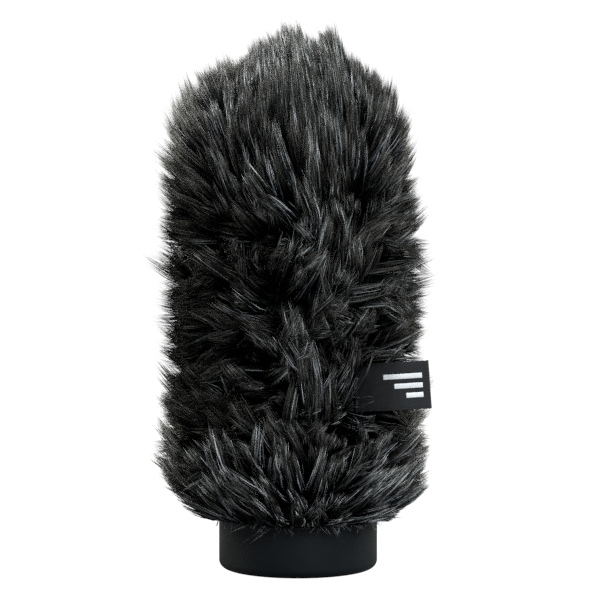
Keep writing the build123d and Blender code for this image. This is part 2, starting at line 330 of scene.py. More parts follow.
def thread_mesh(name, centres, helpers, thread_radius, pitch):
    """Two-ply threads along several centre lines of the same number of points."""
    ply_radius = thread_radius * PLY_SHARE
    paths = []
    for centre, helper in zip(centres, helpers):
        tangents = unit(np.gradient(centre, axis=0))
        across = unit(np.cross(tangents, helper))
        up = np.cross(across, tangents)
        turns = np.linalg.norm(np.diff(centre, axis=0), axis=1).sum() / pitch
        angle = np.linspace(0.0, TURN * turns, len(centre))[:, None]
        for phase in (0.0, math.pi):
            spoke = np.cos(angle + phase) * across + np.sin(angle + phase) * up
            paths.append(centre + spoke * (thread_radius - ply_radius))
    radii = np.full((len(paths), len(centres[0]) - 1), ply_radius)
    return tube_mesh(name, np.array(paths), radii, PLY_SIDES, np.repeat(helpers, 2, axis=0))


# Materials


def new_material(name):
    material = bpy.data.materials.new(name)
    material.use_nodes = True
    return material, material.node_tree, material.node_tree.nodes["Principled BSDF"]


def add(tree, kind, inputs=None, **settings):
    """A new node with its inputs set or linked."""
    node = tree.nodes.new(kind)
    for key, value in settings.items():
        setattr(node, key, value)
    set_inputs(node, inputs or {})
    return node


def ramp(tree, factor, stops):
    """Colour ramp whose stops are (position, colour); a number stands for a grey."""
    node = add(tree, "ShaderNodeValToRGB", {"Fac": factor})
    elements = node.color_ramp.elements
    while len(elements) < len(stops):
        elements.new(1.0)
    for element, (position, colour) in zip(elements, stops):
        if np.isscalar(colour):
            colour = (colour,) * 3
        element.position = position
        element.color = (*colour, 1.0)
    return node.outputs["Color"]


def shades(colour, *factors):
    return [[c * factor for c in colour] for factor in factors]


def mottled(tree, factor, colour, low, high, start=0.3, end=0.7):
    """The colour between two shades of it, as the factor varies."""
    dark, light = shades(colour, low, high)
    return ramp(tree, factor, ((start, dark), (end, light)))


def maths(tree, operation, a, b=0.0, c=0.0):
    return add(tree, "ShaderNodeMath", {0: a, 1: b, 2: c}, operation=operation).outputs[0]


def scaled(tree, value, factor, offset):
    return maths(tree, "MULTIPLY_ADD", value, factor, offset)


def sine_of(tree, place, pitch):
    """Sine that repeats along a place in millimetres."""
    return maths(tree, "SINE", maths(tree, "MULTIPLY", place, TURN / pitch))


def noise(tree, scale, detail, roughness, vector):
    inputs = {"Scale": scale, "Detail": detail, "Roughness": roughness, "Vector": vector}
    return add(tree, "ShaderNodeTexNoise", inputs).outputs["Fac"]


def voronoi(tree, scale, vector):
    return add(tree, "ShaderNodeTexVoronoi", {"Vector": vector, "Scale": scale}).outputs["Distance"]


def object_position(tree):
    return add(tree, "ShaderNodeTexCoord").outputs["Object"]


def bump(tree, height, strength, distance_mm):
    inputs = {"Height": height, "Strength": strength, "Distance": distance_mm * MM}
    return add(tree, "ShaderNodeBump", inputs).outputs["Normal"]


def set_inputs(node, inputs):
    """Links a node's inputs to sockets, or sets them to plain values."""
    for key, value in inputs.items():
        if isinstance(value, bpy.types.NodeSocket):
            node.id_data.links.new(value, node.inputs[key])
        else:
            node.inputs[key].default_value = value


def set_shader(shader, **inputs):
    """Sets or links inputs that are named with underscores for spaces."""
    set_inputs(shader, {key.replace("_", " "): value for key, value in inputs.items()})


# Strand numbers against colours, whose palest end is partly pale fibres and partly painted highlight streaks,
# and the olive grey towards which tips fade, partly the fur's own tipping and partly painted backlight
# through the tips
FUR_TONES = (
    (0.0, (0.0004, 0.0004, 0.0005)),
    (0.50, (0.0008, 0.0009, 0.0010)),
    (0.68, (0.0047, 0.0054, 0.0064)),
    (0.78, (0.0410, 0.0460, 0.0540)),
    (0.88, (0.2400, 0.2620, 0.2920)),
    (1.0, (0.7800, 0.8100, 0.8400)),
)
TIP_TONE_AND_BACKLIGHT = (0.105, 0.100, 0.080, 1.0)


def fur_material():
    """Pile colour from each strand's own number (u) and the place along it (v)."""
    material, tree, shader = new_material("fur_pile")
    uv = add(tree, "ShaderNodeUVMap", uv_map="OFBake").outputs["UV"]
    split = add(tree, "ShaderNodeSeparateXYZ", {"Vector": uv})
    strand, along = split.outputs["X"], split.outputs["Y"]
    tone = ramp(tree, strand, FUR_TONES)
    # Darker towards the root: partly the fur's own dark base, partly painted shade deep in the pile
    root_tone_and_shade = ramp(tree, along, ((0.0, 0.10), (0.25, 0.35), (0.55, 0.85), (1.0, 1.0)))
    mixing = {0: 1.0, 6: tone, 7: root_tone_and_shade}
    pile = add(tree, "ShaderNodeMix", mixing, data_type="RGBA", blend_type="MULTIPLY").outputs[2]
    # Paler strands fade to olive grey at their tips: partly the fur's tipping, partly painted backlight
    # through them
    near_tip = ramp(tree, along, ((0.58, 0.0), (1.0, 0.58)))
    fades = ramp(tree, strand, ((0.40, 0.0), (0.66, 1.0)))
    tip = maths(tree, "MULTIPLY", near_tip, fades)
    faded = {0: tip, 6: pile, 7: TIP_TONE_AND_BACKLIGHT}
    colour = add(tree, "ShaderNodeMix", faded, data_type="RGBA").outputs[2]
    set_shader(shader, Base_Color=colour, Roughness=0.42, Specular_IOR_Level=0.15)
    return material


def rubber_material(name, colour, roughness):
    """Moulded rubber: fine grain, soft mottling, slightly scuffed."""
    material, tree, shader = new_material(name)
    place = object_position(tree)
    tint = mottled(tree, noise(tree, 90.0, 4.0, 0.6, place), colour, 0.85, 1.15)
    scuff = noise(tree, 420.0, 3.0, 0.6, place)
    rough = ramp(tree, scuff, ((0.3, roughness - 0.04), (0.7, roughness + 0.06)))
    grain = bump(tree, noise(tree, 2600.0, 2.0, 0.5, place), 0.18, 0.2)
    set_shader(shader, Base_Color=tint, Roughness=rough, Normal=grain, Specular_IOR_Level=0.10)
    return material


def plastic_material(name, colour, roughness):
    """Moulded plastic with a fine sparked texture."""
    material, tree, shader = new_material(name)
    place = object_position(tree)
    cells = voronoi(tree, 1900.0, place)
    tint = mottled(tree, noise(tree, 60.0, 3.0, 0.5, place), colour, 0.88, 1.12)
    rough = ramp(tree, cells, ((0.0, roughness), (0.6, roughness + 0.12)))
    set_shader(shader, Base_Color=tint, Roughness=rough, Normal=bump(tree, cells, 0.25, 0.1))
    return material


def foam_material(name, colour, pores_per_metre):
    """Open-cell foam: pores darkened by painted shade between paler walls, whose rims carry painted
    highlights.
    """
    material, tree, shader = new_material(name)
    cells = voronoi(tree, pores_per_metre, object_position(tree))
    # Pore colour is painted shade, rim colour painted highlight
    pore, wall, rim_highlight = shades(colour, 0.25, 1.0, 1.5)
    walls = ramp(tree, cells, ((0.12, pore), (0.45, wall), (0.75, rim_highlight)))
    height = ramp(tree, cells, ((0.1, 0.0), (0.55, 1.0)))
    relief = bump(tree, height, 0.9, 0.5)
    set_shader(shader, Base_Color=walls, Normal=relief, Roughness=0.95, Specular_IOR_Level=0.15)
    return material


def cloth_place(tree):
    """Place on the cloth in millimetres, as separate across and along values."""
    uv = add(tree, "ShaderNodeUVMap", uv_map="cloth").outputs["UV"]
    split = add(tree, "ShaderNodeSeparateXYZ", {"Vector": uv})
    return uv, split.outputs["X"], split.outputs["Y"]


def cloth_material(name, colour, height_of, pitch, relief_mm, roughness, sheen):
    """Cloth that follows a height field, with painted shade between its threads, and unevenly dyed."""
    material, tree, shader = new_material(name)
    uv, across, along = cloth_place(tree)
    height = height_of(tree, across, along, pitch)
    dye = noise(tree, 0.35, 4.0, 0.6, uv)
    # Painted shade between the threads, mixed with the real uneven dye
    thread_shade_and_tone = scaled(tree, height, 0.6, maths(tree, "MULTIPLY", dye, 0.4))
    tint = mottled(tree, thread_shade_and_tone, colour, 0.40, 1.45, 0.2, 0.8)
    rough = ramp(tree, dye, ((0.3, roughness - 0.05), (0.7, roughness + 0.05)))
    relief = bump(tree, height, 0.8, relief_mm)
    set_shader(shader, Base_Color=tint, Roughness=rough, Normal=relief, Sheen_Weight=sheen)
    set_shader(shader, Specular_IOR_Level=0.25)
    return material


def plain_weave(tree, across, along, pitch):
    """Height field of threads that cross at right angles."""
    threads = maths(tree, "MULTIPLY", sine_of(tree, across, pitch), sine_of(tree, along, pitch))
    return scaled(tree, threads, 0.5, 0.5)


def twill(tree, across, along, pitch):
    """Height field of fine diagonal ribs crossed by weft threads."""
    ribs = sine_of(tree, maths(tree, "ADD", across, along), pitch)
    weft = scaled(tree, sine_of(tree, along, pitch / 2), 0.15, 0.5)
    return scaled(tree, ribs, 0.35, weft)


def knit(tree, across, along, pitch):
    """Height field of knitted columns of V-shaped stitches, a little wider than tall."""
    course = 0.8 * pitch
    column = maths(tree, "ABSOLUTE", sine_of(tree, across, 2 * pitch))
    lean = scaled(tree, column, course / 2, along)
    stitch = scaled(tree, sine_of(tree, lean, course), 0.35, 0.65)
    return maths(tree, "MULTIPLY", column, stitch)


def ribbed(tree, across, along, pitch):
    """Height field of ribs that run across the cloth's length."""
    return scaled(tree, sine_of(tree, along, pitch), 0.5, 0.5)


def thread_material(name, colour):
    """Spun thread: slightly fuzzy and unevenly lit along its plies."""
    material, tree, shader = new_material(name)
    fibres = noise(tree, 5200.0, 3.0, 0.6, object_position(tree))
    tint = mottled(tree, fibres, colour, 0.5, 1.5)
    fuzz = bump(tree, fibres, 0.4, 0.05)
    set_shader(shader, Base_Color=tint, Roughness=0.7, Sheen_Weight=0.3, Normal=fuzz)
    return material


# Label on the CAD's curve: it sweeps round from its start direction and rises by its tilt
TAG_LENGTH = 28.0
TAG_HEIGHT = 17.0
TAG_THICKNESS = 1.1
TAG_START = math.radians(-42.0)
TAG_SWEEP = math.radians(40.0)
TAG_TILT = math.radians(4.5)
TAG_RADIUS = TAG_LENGTH / TAG_SWEEP
TAG_HEADING = TAG_START + TAG_SWEEP / 2
TAG_BEAD = 0.7
TAG_BUCKLE = 0.16
RIBBON = 0.44
RIBBON_PITCH = 0.75
SELVEDGE = 0.7
MOTIF_BARS = ((3.4, 14.0), (0.0, 10.0), (-3.4, 6.0))
MOTIF_BAR_HEIGHT = 1.8
MOTIF_END = 2.6
LOOP_COUNT = 5
LOOP_RADIUS = 1.16
LOOP_WIRE = 0.28


def label_place(along, upward, outward):
    """Point on the label: along its curve, upward across it, outward from its convex side."""
    along, upward, outward = np.broadcast_arrays(along, upward, outward)
    centre = TAG_RADIUS * np.array((math.cos(TAG_START + QUARTER), math.sin(TAG_START + QUARTER)))
    angle = TAG_START - QUARTER + along / TAG_RADIUS
    out = TAG_RADIUS + outward
    local = vectors(centre[0] + out * np.cos(angle), centre[1] + out * np.sin(angle), upward)
    axis = polar(TAG_HEADING)
    flat = local @ axis
    side = local - flat[..., None] * axis
    side[..., 2] = 0.0
    place = (flat * math.cos(TAG_TILT) - upward * math.sin(TAG_TILT))[..., None] * axis + side
    place[..., 2] = flat * math.sin(TAG_TILT) + upward * math.cos(TAG_TILT)
    return place + TAG_ROOT


def label_buckle(along, body):
    """How far the label stands off its even curve, from nothing near its seam."""
    return TAG_BUCKLE * waves(61, 13.0, body) * smoothstep(1.0, 8.0, along)


def label_coordinates(points):
    """Inverse of label_place, nearly: (along the chord, upward, towards the front)."""
    offset = points - TAG_ROOT
    along = offset @ polar(TAG_HEADING)
    front = offset @ polar(TAG_HEADING - QUARTER)
    return along, offset[..., 2] - along * math.tan(TAG_TILT), front


def woven_label():
    """Two layers of woven ribbon, folded at the free end and sewn together at the seam."""
    half = TAG_THICKNESS / 2 - 0.02
    fold = TAG_LENGTH - half
    straight = np.linspace(-0.2, fold, 110)
    bend = np.linspace(0.0, math.pi, 9)[1:-1]
    upward = np.linspace(-TAG_HEIGHT / 2, TAG_HEIGHT / 2, 73)

    def folded(offset):
        """Places along the label and out from its middle, out to the fold and back at the offset."""
        side = np.full(len(straight), offset)
        along = np.concatenate((straight, fold + offset * np.sin(bend), straight[::-1]))
        return along, np.concatenate((side, offset * np.cos(bend), -side))

    def surface(offset, relief):
        along, outward = folded(offset)
        a, u = np.meshgrid(along, upward, indexing="ij")
        o = np.repeat(outward[:, None], len(upward), axis=1)
        body = vectors(a, u, 0.0)
        edge = smoothstep(TAG_HEIGHT / 2 - SELVEDGE - 0.4, TAG_HEIGHT / 2 - SELVEDGE, np.abs(u))
        ribs = 0.025 * np.sin(TURN * a / RIBBON_PITCH) * np.sin(TURN * u / RIBBON_PITCH)
        lift = (ribs - 0.05 * edge) * relief * np.sign(o)
        frayed = u + 0.06 * waves(62, 1.6, body) * edge
        return label_place(a, frayed, o + label_buckle(a, body) + lift)

    along, outer = folded(half)
    run = np.append(0.0, np.cumsum(np.hypot(np.diff(along), np.diff(outer))))
    cloth = vectors(run[:, None], upward)
    grids = [(surface(half, 1.0), cloth), (surface(half - RIBBON, 0.0), cloth)]
    rows, columns = cloth.shape[:2]
    number = np.arange(rows * columns).reshape(rows, columns)
    caps = []
    for edge in (number[:, 0], number[:, -1], number[0], number[-1]):
        first, second = edge[:-1], edge[1:]
        caps.append(vectors(first, second, second + number.size, first + number.size))
    mesh = grid_mesh("label_cloth", grids, caps)
    material = cloth_material("label_weave", (0.0090, 0.0102, 0.0120), twill, 0.42, 0.05, 0.66, 0.08)
    finish_mesh(mesh, material, "tag", "label_weave", "woven_label")


def label_bead():
    """Rolled seam allowance on the label's sewn edge."""
    height = np.linspace(-TAG_HEIGHT / 2, TAG_HEIGHT / 2, 60)
    around = np.linspace(0.0, TURN, 19)
    h, a = np.meshgrid(height, around, indexing="ij")
    end = np.minimum(h + TAG_HEIGHT / 2, TAG_HEIGHT / 2 - h)
    inset = 1.0 - np.clip(end / 0.5, 0.0, 1.0)
    radius = TAG_BEAD * np.sqrt(1.0 - 0.97 * inset**2) * (1.0 + 0.05 * np.sin(TURN * h / 1.1 + a))
    points = vectors(radius * np.cos(a), radius * np.sin(a), h) + TAG_ROOT
    mesh = grid_mesh("label_bead", [(points, vectors(a * TAG_BEAD, h))])
    material = cloth_material("bead_weave", (0.016, 0.017, 0.019), plain_weave, 0.5, 0.08, 0.75, 0.2)
    finish_mesh(mesh, material, "tag", "label_weave")


STITCH_PITCH = 0.34
STITCH_RISE = 0.17


def stitched_bars():
    """Three satin-stitched bars: close parallel stitches, each a small ridge across the bar."""
    grids = []
    for offset, length in MOTIF_BARS:
        start = TAG_LENGTH - MOTIF_END - length
        along = np.linspace(start, start + length, math.ceil(length / 0.07))
        around = np.linspace(0.0, TURN, 25)
        a, t = np.meshgrid(along, around, indexing="ij")
        end = np.clip(np.minimum(a - start, start + length - a) / 0.25, 0.0, 1.0)
        stitch = 0.5 + 0.5 * np.cos(TURN * (a - start) / STITCH_PITCH)
        uneven = 0.02 * waves(71, 0.9, a[..., None] * np.ones(3))
        half = MOTIF_BAR_HEIGHT / 2 * (0.96 + 0.05 * stitch + uneven)
        rise = STITCH_RISE * (0.75 + 0.25 * stitch) * np.sqrt(1.0 - 0.98 * (1.0 - end) ** 2)
        upward = offset + half * np.cos(t)
        profile = np.sign(np.sin(t)) * np.abs(np.sin(t)) ** 0.6
        buckle = label_buckle(a, vectors(a, upward, 0.0))
        outward = TAG_THICKNESS / 2 + 0.03 + buckle + rise * profile
        grids.append((label_place(a, upward, outward), vectors(a, upward)))
    mesh = grid_mesh("stitched_bars", grids)
    material, tree, shader = new_material("pale_stitch")
    across = cloth_place(tree)[1]
    # Paler on each stitch's ridge and darker between stitches, as painted highlight and shade, over random
    # fibre tone
    ridge = scaled(tree, sine_of(tree, across, STITCH_PITCH), 0.5, 0.5)
    fibres = noise(tree, 4200.0, 3.0, 0.6, object_position(tree))
    thread_shade_and_tone = scaled(tree, fibres, 0.5, maths(tree, "MULTIPLY", ridge, 0.5))
    tint = ramp(tree, thread_shade_and_tone, ((0.2, (0.52, 0.53, 0.54)), (0.7, (0.80, 0.81, 0.82))))
    relief = bump(tree, thread_shade_and_tone, 0.5, 0.05)
    set_shader(shader, Base_Color=tint, Roughness=0.5, Sheen_Weight=0.2, Normal=relief)
    finish_mesh(mesh, material, "tag", "pale_stitch", "motif_bars")


def label_loops(material):
    """Bar-tack loops of twisted thread round the label's bead."""
    angle = np.linspace(0.0, TURN, 61)
    ring = LOOP_RADIUS * polar(angle)
    pitch = TAG_HEIGHT / LOOP_COUNT
    levels = (np.arange(LOOP_COUNT) + 0.5) * pitch - TAG_HEIGHT / 2
    centres = [TAG_ROOT + ring + (0.0, 0.0, level) for level in levels]
    mesh = thread_mesh("bar_tacks", centres, [UPRIGHT] * LOOP_COUNT, LOOP_WIRE, 1.0)
    finish_mesh(mesh, material, "cover", "sewing_thread", "label_loops")


# Cover


SEAM_GAP = 0.6
CROWN_HOLE = 2.2


def gore_azimuths(centre_deg, radius, step):
    edge = QUARTER / 2 - SEAM_GAP / 2 / radius
    return math.radians(centre_deg) + np.linspace(-edge, edge, math.ceil(2 * edge * radius / step))


def backing():
    """Knitted ground of the four gores."""
    radius = BACKING_RADIUS - BACKING_THICKNESS / 2
    middle = wall_and_dome(radius, HEM_HIGH[2] + FIT_GAP, CROWN_HOLE, 1.1)
    material = cloth_material("knit_backing", (0.0065, 0.0065, 0.007), knit, 1.0, 0.25, 0.85, 0.1)
    for name, centre in GORES:
        mesh = turned_sheet(
            f"knit_{name}", middle, BACKING_THICKNESS - 0.14, gore_azimuths(centre, radius, 0.9),
            sway=lambda points: 0.03 * waves(31, 9.0, points),
            grain=lambda points: 0.025 * waves(32, 2.4, points),
        )
        finish_mesh(mesh, material, "cover", "knit_backing", f"backing_{name}")


def seam_tapes():
    """Woven tapes inside the seams."""
    middle = wall_and_dome(TAPE_RADIUS - TAPE_THICKNESS / 2, HEM_HIGH[2] + FIT_GAP, CROWN_HOLE, 1.4)
    across = np.radians(np.linspace(-8.0, 8.0, 12))
    meshes = [
        turned_sheet(
            "tape", middle, TAPE_THICKNESS - 0.06, QUARTER * (n + 0.5) + across,
            grain=lambda points: 0.01 * waves(33, 2.0, points),
        )
        for n in range(len(GORES))
    ]
    material = cloth_material("seam_tape", (0.011, 0.011, 0.012), ribbed, 0.6, 0.1, 0.75, 0.2)
    finish_mesh(joined_mesh("woven_tapes", meshes), material, "cover", "seam_tape", "seam_tapes")


def seam_threads(material):
    """Twisted sewing threads laid along the four seams."""
    radius = BACKING_RADIUS - BACKING_THICKNESS / 2
    middle = wall_and_dome(radius, HEM_HIGH[2] + FIT_GAP, 3.0, 0.25)
    centres, helpers = [], []
    for n in range(len(GORES)):
        azimuth = QUARTER * (n + 0.5)
        x, y = middle[:, 0] * polar(azimuth)[:2, None]
        centres.append(vectors(x, y, middle[:, 1]))
        helpers.append(polar(azimuth + QUARTER))
    mesh = thread_mesh("seam_stitching", centres, helpers, 0.17, 1.3)
    finish_mesh(mesh, material, "cover", "sewing_thread", "seam_threads")


HEM_FOLDS = 46
HEM_STITCHES = 64
STITCH_POINTS = 14


def hem(thread):
    """Gathered binding at the mouth, the ribbed elastic in its channel and their stitches."""
    radius = HEM_RADIUS - HEM_THICKNESS / 2
    middle = straight_wall(radius, HEM_LOW[2] + END_GAP, HEM_HIGH[2] - END_GAP, 0.25)
    thickness = rounded(middle, HEM_THICKNESS - 0.5, 0.7)
    azimuths = full_turn(radius, 0.45)

    def gathers(points):
        azimuth = np.arctan2(points[..., 1], points[..., 0])
        up = smoothstep(HEM_LOW[2], HEM_HIGH[2], points[..., 2])
        fold = np.cos(HEM_FOLDS * azimuth + 1.6 * waves(41, 14.0, points)) * (0.07 + 0.10 * up)
        return fold + 0.03 * waves(42, 5.0, points)

    skin = turned_sheet("skin", middle, thickness, azimuths, sway=gathers)
    low, high = (corner[2] for corner in node_box("hem_elastic"))
    channel = straight_wall(radius, low - FIT_GAP, high + FIT_GAP, 0.5)
    hollow = turned_sheet("channel", channel, 0.9, azimuths, sway=gathers)
    hollow.flip_normals()
    material = cloth_material("hem_binding", (0.008, 0.008, 0.009), twill, 0.7, 0.12, 0.8, 0.2)
    mesh = joined_mesh("gathered_binding", (skin, hollow))
    finish_mesh(mesh, material, "cover", "hem_binding", "hem_binding")

    band = straight_wall(radius, low + FIT_GAP, high - FIT_GAP, 0.2)
    mesh = turned_sheet(
        "ribbed_elastic", band, 0.55, azimuths, sway=gathers,
        grain=lambda points: 0.04 * np.sin(TURN * points[..., 2] / 0.8),
    )
    elastic = cloth_material("hem_elastic", (0.022, 0.022, 0.023), ribbed, 0.8, 0.1, 0.7, 0.1)
    finish_mesh(mesh, elastic, "cover", "hem_elastic", "hem_elastic")

    lift = 0.22 * np.sin(np.linspace(0.0, math.pi, STITCH_POINTS))
    centres = []
    for n in range(HEM_STITCHES):
        azimuth = TURN * (n + np.linspace(0.12, 0.88, STITCH_POINTS)) / HEM_STITCHES
        centre = polar(azimuth) * (radius + 0.95 + lift)[:, None]
        centres.append(centre + (0.0, 0.0, HEM_HIGH[2] - 1.3))
    mesh = thread_mesh("hem_stitches", centres, [UPRIGHT] * HEM_STITCHES, 0.16, 0.9)
    finish_mesh(mesh, thread, "cover", "sewing_thread")


# Foam

# Radius at which a closed dome's profile ends
POLE = 1e-4


def foam_piece(name, node, slot, material, middle, wall, corner, step, pore, seed, open_top=False):
    """Foam part with a torn open-cell skin, fine dents and round edges."""

    def cells(points):
        fine = waves(seed, 2.3, points, 14)
        rough = waves(seed + 1, 1.1, points, 14)
        dents = np.minimum(waves(seed + 2, 11.0, points), 0.0)
        return pore * (0.6 * fine + 0.6 * rough - 0.6) + 0.05 * dents

    azimuths = full_turn(middle[:, 0].max(), step)
    thickness = rounded(middle, wall - 2 * END_GAP, corner, open_top)
    mesh = turned_sheet(name, middle, thickness, azimuths, grain=cells)
    finish_mesh(mesh, material, "core", slot, node)


def foams():
    """Outer sleeve and domed cap, the washer round the liner's flange and the inner sock."""
    low, high = node_box("outer_foam_sleeve")
    wall = high[0] - node_box("spacer_rings")[1][0] - FIT_GAP
    radius = high[0] - wall / 2
    sleeve = straight_wall(radius, low[2] + END_GAP, high[2] - END_GAP, 0.75)
    cap = wall_and_dome(radius, node_box("outer_foam_cap")[0][2] + END_GAP, POLE, 0.75)
    looks = ("outer_foam", foam_material("outer_foam", (0.020, 0.020, 0.022), 1150.0))
    foam_piece("foam_sleeve", "outer_foam_sleeve", *looks, sleeve, wall, 0.6, 0.8, 0.09, 81)
    foam_piece("foam_cap", "outer_foam_cap", *looks, cap, wall, 0.6, 0.8, 0.09, 84, open_top=True)

    low, high = node_box("base_washer")
    inner = node_box("open_liner")[1][0] + FIT_GAP
    washer = straight_wall((inner + high[0]) / 2, low[2] + END_GAP, high[2] - END_GAP, 0.5)
    looks = ("washer_foam", foam_material("washer_foam", (0.024, 0.024, 0.026), 1300.0))
    foam_piece("foam_washer", "base_washer", *looks, washer, high[0] - inner - FIT_GAP, 0.5, 0.9, 0.07, 87)

    low, high = node_box("inner_foam")
    wall = high[0] - node_box("liner_cap")[1][0] - FIT_GAP
    sock = wall_and_dome(high[0] - wall / 2, low[2] + END_GAP, POLE, 1.0)
    looks = ("inner_foam", foam_material("inner_foam", (0.022, 0.022, 0.024), 1300.0))
    foam_piece("foam_sock", "inner_foam", *looks, sock, wall, 0.6, 1.1, 0.07, 90, open_top=True)


# Fur

FUR_SEED = 11
LOCKS = 11500
STRANDS_PER_LOCK = 12
CLUMPS = 1350
BANDS_PER_GORE = 3
DOME_DENSITY = 1.5
STRAND_RADIUS = (0.10, 0.17)
STRAND_SIDES = 3
MAX_STRAND = 28.0
LOCK_SPREAD = 0.75
FLYAWAYS = 0.02
# Height of a root against the elevation in degrees at which its strands lie
LAY = (
    (18.6, 22), (20, 26), (22, 29), (26, 31), (31, 33), (38, 27), (49, 16), (63, 8), (98, 8), (118, 13),
    (130, 22), (140, 36), (149, 46),
)
# Azimuth in degrees against how much further up strands are combed, low and high on the cover
COMBED = ((-125, 0), (-108, 6), (-94, 16), (-84, 34), (-68, 36), (-56, 10), (-45, 0))
COMBED_HIGH = ((-165, 0), (-140, 8), (-115, 22), (-90, 30), (-65, 22), (-40, 8), (-15, 0))
# Heights between which combing sets in, and between which it passes from low to high
COMBING = (30.0, 60.0)
COMBED_PASSES = (118.0, 140.0)
# Height of a root against its strands' share of the way to the pile's surface
GROW = ((18.6, 0.50), (19.4, 0.87), (20.5, 1.08), (25, 1.16), (32, 1.10), (45, 1.0))
# Height against how far, in degrees, clumps stray from the lay
STRAY = ((18.6, 8), (35, 12), (53, 25), (113, 25), (133, 12), (153, 7))
# Height against how closely strands follow their own azimuth rather than their gore's middle
FOLLOW = ((23, 0.95), (103, 0.9), (138, 0.6), (153, 0.42))
# Height against how much strands gather into their clump's point
GATHER = ((18.6, 0.36), (45, 0.74), (120, 0.70), (150, 0.42), (180, 0.30))
# Place across the crown against how far its tufts stand over or under the dome
CROWN = (
    (-46, 5), (-43, 3.5), (-39, -2), (-35, -3), (-30, -1.5), (-23, -7), (-17, -2), (-11, -0.8), (-2.5, 4.2),
    (3.5, 0.5), (6.6, -1), (9.5, 4.5), (12.8, 6.8), (17.5, -0.8), (24, -3), (28, 1.5), (32, -1.5), (36, 7),
    (40, 0),
)
# Heights between which the crown's tufts and its lean to one side set in
CROWN_RISES = (155.0, 184.0)
LEAN_RISES = (108.0, 161.0)
CROWN_LEAN = -4.0
# Steps along a strand at which its rings sit, and the rings' share of its radius
RING_STEPS = np.array((0.0, 0.42, 0.78, 1.0))
RING_SHARES = np.array((0.9, 1.0, 0.66))
# Wisps that hang over the collar: azimuth, turn from there and elevation in degrees, and length
WISPS = (
    (-106, -70, -27, 14.5), (-109, -62, -38, 8), (-146, -20, -60, 3.2), (-143, 12, -62, 3),
    (-72.5, -80, -32, 5), (-66, 60, -50, 4), (-8, 5, 2, 11), (-124, -50, -12, 7),
)
LOOSE_WISPS = 90
STRANDS_PER_WISP = 4
# How far along the label its clear part starts, and the share of strands that may cross it further
LABEL_SHOWS_FROM = (2.5, 7.5)
LABEL_CROSSED = 0.04
LABEL_CROSSED_TO = 14.0


class Roots:
    """Places on the backing, from their azimuth and their way up its profile from the hem's bottom."""

    wall = SPRING_Z - HEM_LOW[2]

    def __init__(self, azimuth, way):
        self.azimuth = azimuth
        self.way = np.clip(way, 0.3, self.wall + BACKING_RADIUS * QUARTER * 0.99)
        self.normal = np.maximum(self.way - self.wall, 0.0) / BACKING_RADIUS
        self.height = HEM_LOW[2] + np.minimum(self.way, self.wall) + BACKING_RADIUS * np.sin(self.normal)
        self.radius = np.where(self.height < HEM_HIGH[2], HEM_RADIUS, BACKING_RADIUS * np.cos(self.normal))

    def points(self):
        x, y = self.radius * polar(self.azimuth).T[:2]
        return vectors(x, y, self.height)


def spread_roots(rng, count):
    """Roots all over the wall and the dome, closer together on the dome."""
    azimuth = rng.uniform(-math.pi, math.pi, count)
    dome = BACKING_RADIUS * DOME_DENSITY
    on_dome = rng.random(count) < dome / (dome + Roots.wall)
    rise = rng.random(count)
    return Roots(azimuth, np.where(on_dome, Roots.wall + BACKING_RADIUS * np.arcsin(rise), Roots.wall * rise))


def scattered_roots(rng, roots, owner, spread):
    """Roots near their owners' roots, kept in the same gore."""
    sideways = spread * rng.normal(size=len(owner)) / np.maximum(roots.radius[owner], 6.0)
    middle = gore_azimuth(roots.azimuth)[owner]
    edge = QUARTER / 2 - 0.004
    azimuth = np.clip(roots.azimuth[owner] + sideways, middle - edge, middle + edge)
    return Roots(azimuth, roots.way[owner] + spread * rng.normal(size=len(owner)))


def spread_out(points, keep, rng, tries=8):
    """Indices of well separated points: each is the farthest of a few random candidates."""
    chosen = [0]
    for _ in range(keep - 1):
        candidates = rng.integers(0, len(points), tries)
        gaps = np.linalg.norm(points[candidates][:, None] - points[chosen][None], axis=2).min(axis=1)
        chosen.append(int(candidates[gaps.argmax()]))
    return np.array(chosen)


def nearest(points, centres):
    """Index of each point's nearest centre."""
    tree = KDTree(len(centres))
    for i, centre in enumerate(centres):
        tree.insert(centre, i)
    tree.balance()
    return np.array([tree.find(point)[1] for point in points])


def gore_azimuth(azimuth):
    """The middle azimuth of the gore that holds each azimuth."""
    return np.round(azimuth / QUARTER) * QUARTER


def lay_direction(roots, stray_turn, stray_rise):
    """Direction in which strands lie, with stray terms in units of the local disorder."""
    azimuth = np.degrees(roots.azimuth)
    high = smoothstep(*COMBED_PASSES, roots.height)
    low = (1 - high) * smoothstep(*COMBING, roots.height)
    combed = curve(COMBED, azimuth) * low + curve(COMBED_HIGH, azimuth) * high
    lay = np.radians(curve(LAY, roots.height) + combed)
    lay += (QUARTER - lay) * (roots.normal / QUARTER) ** 0.8
    middle = gore_azimuth(roots.azimuth)
    toward = middle + (roots.azimuth - middle) * curve(FOLLOW, roots.height)
    disorder = np.radians(curve(STRAY, roots.height))
    return polar(toward + stray_turn * disorder, np.clip(lay + stray_rise * disorder * 0.8, -0.9, 1.9))


def reach(points, directions):
    """Length along each direction from its root to the pile's rounded outer surface."""
    flat_p = np.linalg.norm(points[:, :2], axis=1)
    flat_d = (points[:, :2] * directions[:, :2]).sum(axis=1) / np.maximum(flat_p, 1e-6)
    to_wall = (FUR_RADIUS - flat_p) / np.maximum(flat_d, 0.05)
    offset = points - np.array((0, 0, SPRING_Z))
    b = (offset * directions).sum(axis=1)
    c = (offset**2).sum(axis=1) - FUR_RADIUS**2
    to_dome = -b + np.sqrt(np.maximum(b * b - c, 0.0))
    over = points[:, 2] + to_wall * directions[:, 2] > SPRING_Z
    return np.minimum(np.where(over, to_dome, to_wall), MAX_STRAND)


